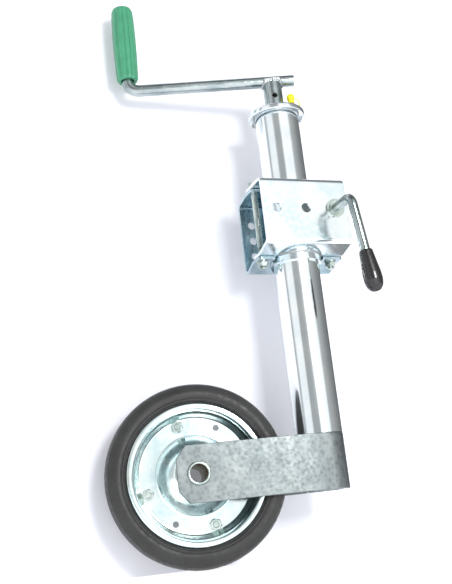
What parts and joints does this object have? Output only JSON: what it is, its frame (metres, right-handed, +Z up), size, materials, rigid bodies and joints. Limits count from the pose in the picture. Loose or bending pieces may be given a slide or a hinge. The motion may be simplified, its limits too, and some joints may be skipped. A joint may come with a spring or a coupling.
{
  "type": "trailer tongue jack",
  "caption": "Trailer tongue jack: bolt-on plate bracket with a lever clamp, a steel column raised by a cranked screw, and a forked jockey wheel with a solid tyre.",
  "frame": {"origin": "centre of the back plate's rear face, where it lies on the drawbar", "axes": "+Y into the drawbar, +Z up along the column, +X along the plate to the lever side"},
  "size_m": [0.3372, 0.1828, 0.7704],
  "materials": {
    "zinc_plate": "bright zinc plate",
    "galvanised": "hot-dip galvanised",
    "greased_steel": "greased",
    "bearing_steel": "polished",
    "bush_plastic": "matt",
    "tyre_rubber": "solid rubber",
    "green_plastic": "moulded",
    "black_vinyl": "dipped vinyl",
    "yellow_plastic": "moulded",
    "nipple_brass": "plated"
  },
  "bodies": {
    "bracket": {"back_channel": "zinc_plate", "back_saddle": "zinc_plate", "clamp_nut": "zinc_plate", "guide_bolts": "zinc_plate", "guide_washers": "zinc_plate", "guide_nuts": "zinc_plate"},
    "jaw": {"front_channel": "zinc_plate", "front_saddle": "zinc_plate"},
    "lever": {"clamp_lever": "zinc_plate", "lever_washers": "zinc_plate", "lever_grip": "black_vinyl"},
    "column": {"outer_tube": "zinc_plate", "top_cap": "zinc_plate", "guide_bush": "greased_steel", "guide_key": "greased_steel", "grease_nipple": "nipple_brass", "cap_tether": "yellow_plastic", "upper_race": "bearing_steel"},
    "dust_cap": {"grease_cap": "yellow_plastic"},
    "bearing": {"thrust_balls": "bearing_steel", "ball_cage": "bearing_steel"},
    "crank": {"lower_race": "bearing_steel", "spindle": "greased_steel", "spindle_collar": "zinc_plate", "crank_hub": "zinc_plate", "spring_pin": "bearing_steel", "crank_rod": "zinc_plate", "hub_weld": "zinc_plate"},
    "grip": {"crank_grip": "green_plastic"},
    "leg": {"spindle_nut": "greased_steel", "inner_tube": "zinc_plate", "fork": "galvanised", "axle_tube": "zinc_plate", "axle_washers": "zinc_plate"},
    "wheel": {"rim_front": "zinc_plate", "rim_back": "zinc_plate", "rim_bolts": "zinc_plate", "rim_nuts": "zinc_plate", "hub_tube": "zinc_plate", "hub_bushes": "bush_plastic", "tyre": "tyre_rubber"}
  },
  "joints": [
    {"name": "lever_turn", "type": "hinge", "parent": "jaw", "child": "lever", "pos_m": [0.045, -0.0834, 0.0185], "axis": [0, -1, 0], "range_deg": [0, 540]},
    {"name": "jaw_slide", "type": "slide", "parent": "bracket", "child": "jaw", "axis": [0, -1, 0], "range_m": [0, 0.00263]},
    {"name": "column_slide", "type": "slide", "parent": "bracket", "child": "column", "axis": [0, 0, 1], "range_m": [-0.1, 0.19]},
    {"name": "crank_turn", "type": "hinge", "parent": "column", "child": "crank", "pos_m": [0, -0.038, 0.174], "axis": [0, 0, -1], "range_deg": [0, 18000]},
    {"name": "leg_slide", "type": "slide", "parent": "column", "child": "leg", "axis": [0, 0, -1], "range_m": [0, 0.2001]},
    {"name": "bearing_turn", "type": "hinge", "parent": "column", "child": "bearing", "pos_m": [0, -0.038, 0.165], "axis": [0, 0, -1], "range_deg": [0, 9001]},
    {"name": "grip_spin", "type": "hinge", "parent": "crank", "child": "grip", "pos_m": [-0.19177, 0.01699, 0.239], "axis": [0, 0, 1], "continuous": true},
    {"name": "wheel_spin", "type": "hinge", "parent": "leg", "child": "wheel", "pos_m": [-0.15547, -0.00467, -0.3034], "axis": [-0.2096, -0.9778, 0], "continuous": true},
    {"name": "dust_cap_pull", "type": "slide", "parent": "column", "child": "dust_cap", "axis": [0, 0, 1], "range_m": [0, 0.012]}
  ],
  "couplings": [
    {"joint": "jaw_slide", "follows": "lever_turn", "m_per_rad": 0.00027852},
    {"joint": "leg_slide", "follows": "crank_turn", "m_per_rad": 0.00063662},
    {"joint": "bearing_turn", "follows": "crank_turn", "ratio": 0.5}
  ]
}
